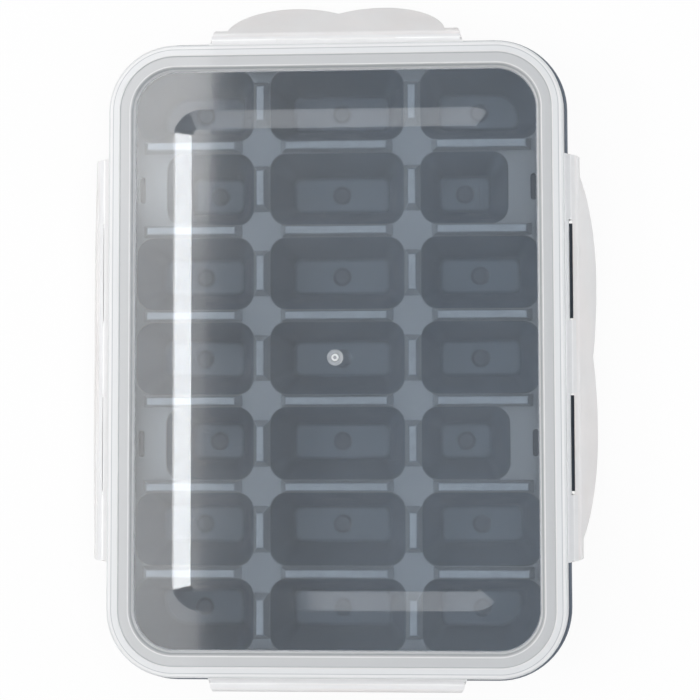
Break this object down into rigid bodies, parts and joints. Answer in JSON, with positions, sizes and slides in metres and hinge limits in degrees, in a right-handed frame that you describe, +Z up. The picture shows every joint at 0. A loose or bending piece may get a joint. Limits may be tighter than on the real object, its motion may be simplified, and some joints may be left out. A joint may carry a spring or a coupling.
{
  "type": "ice cube tray with lid",
  "caption": "Charcoal ice cube tray of drafted cups under a clear frosted lid with a gasket and a hinged locking flap on each side.",
  "frame": {"origin": "middle of the base, on the underside of the middle cup", "axes": "+Z up out of the cups, +X along the short side, +Y along the long side towards the end whose second row of cups is short"},
  "size_m": [0.2039, 0.2751, 0.0361],
  "materials": {
    "tray_plastic": "satin moulded polypropylene, charcoal",
    "lid_plastic": "translucent polypropylene, clear panel and frosted rim",
    "gasket_silicone": "soft translucent silicone"
  },
  "bodies": {
    "tray": {"tray": "tray_plastic"},
    "lid": {"lid": "lid_plastic", "lid_gasket": "gasket_silicone"},
    "flap_right": {"flap_right": "lid_plastic"},
    "flap_back": {"flap_back": "lid_plastic"},
    "flap_left": {"flap_left": "lid_plastic"},
    "flap_front": {"flap_front": "lid_plastic"}
  },
  "joints": [
    {"name": "lid_lift", "type": "slide", "parent": "tray", "child": "lid", "axis": [0, 0, 1], "range_m": [0, 0.06]},
    {"name": "flap_right_hinge", "type": "hinge", "parent": "lid", "child": "flap_right", "pos_m": [0.0919, 0, 0.029], "axis": [0, -1, 0], "range_deg": [-20, 90]},
    {"name": "flap_back_hinge", "type": "hinge", "parent": "lid", "child": "flap_back", "pos_m": [0, 0.1259, 0.029], "axis": [1, 0, 0], "range_deg": [-35.5, 74.5]},
    {"name": "flap_left_hinge", "type": "hinge", "parent": "lid", "child": "flap_left", "pos_m": [-0.0919, 0, 0.029], "axis": [0, 1, 0], "range_deg": [-15.5, 94.5]},
    {"name": "flap_front_hinge", "type": "hinge", "parent": "lid", "child": "flap_front", "pos_m": [0, -0.1259, 0.029], "axis": [-1, 0, 0], "range_deg": [-10, 100]}
  ]
}
